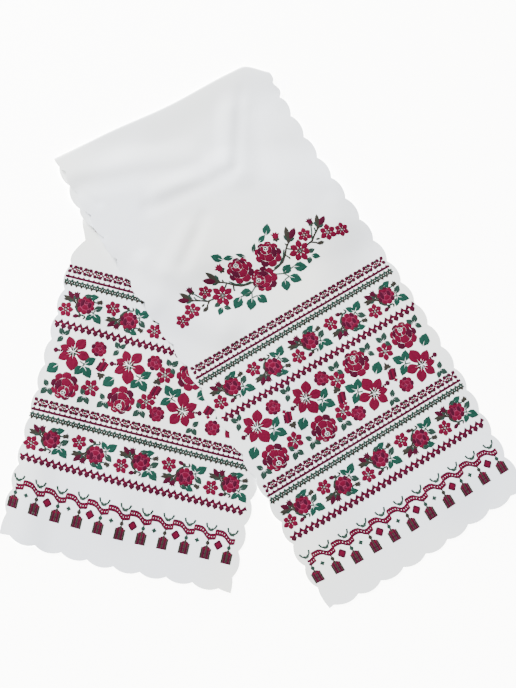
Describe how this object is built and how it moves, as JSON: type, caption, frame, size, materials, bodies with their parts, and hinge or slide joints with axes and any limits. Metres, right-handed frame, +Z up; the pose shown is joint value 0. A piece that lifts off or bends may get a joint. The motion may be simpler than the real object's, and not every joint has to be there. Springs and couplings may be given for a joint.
{
  "type": "rushnyk ritual towel",
  "caption": "Long scalloped ritual towel of white cloth, folded once across its middle and laid flat with its two patterned ends spread apart.",
  "frame": {"origin": "on the surface that the towel lies on, under the middle of its box", "axes": "+Z up from the surface, +Y away from the two patterned ends towards the crease, +X towards the upper leg's side"},
  "size_m": [0.8074, 0.8488, 0.0114],
  "materials": {
    "linen": "matte plain weave, white",
    "crimson_thread": "matte stitched thread, crimson",
    "green_thread": "matte stitched thread, green",
    "dark_thread": "matte stitched thread, dark olive"
  },
  "bodies": {
    "root": {"towel_cloth": "linen"}
  },
  "joints": []
}
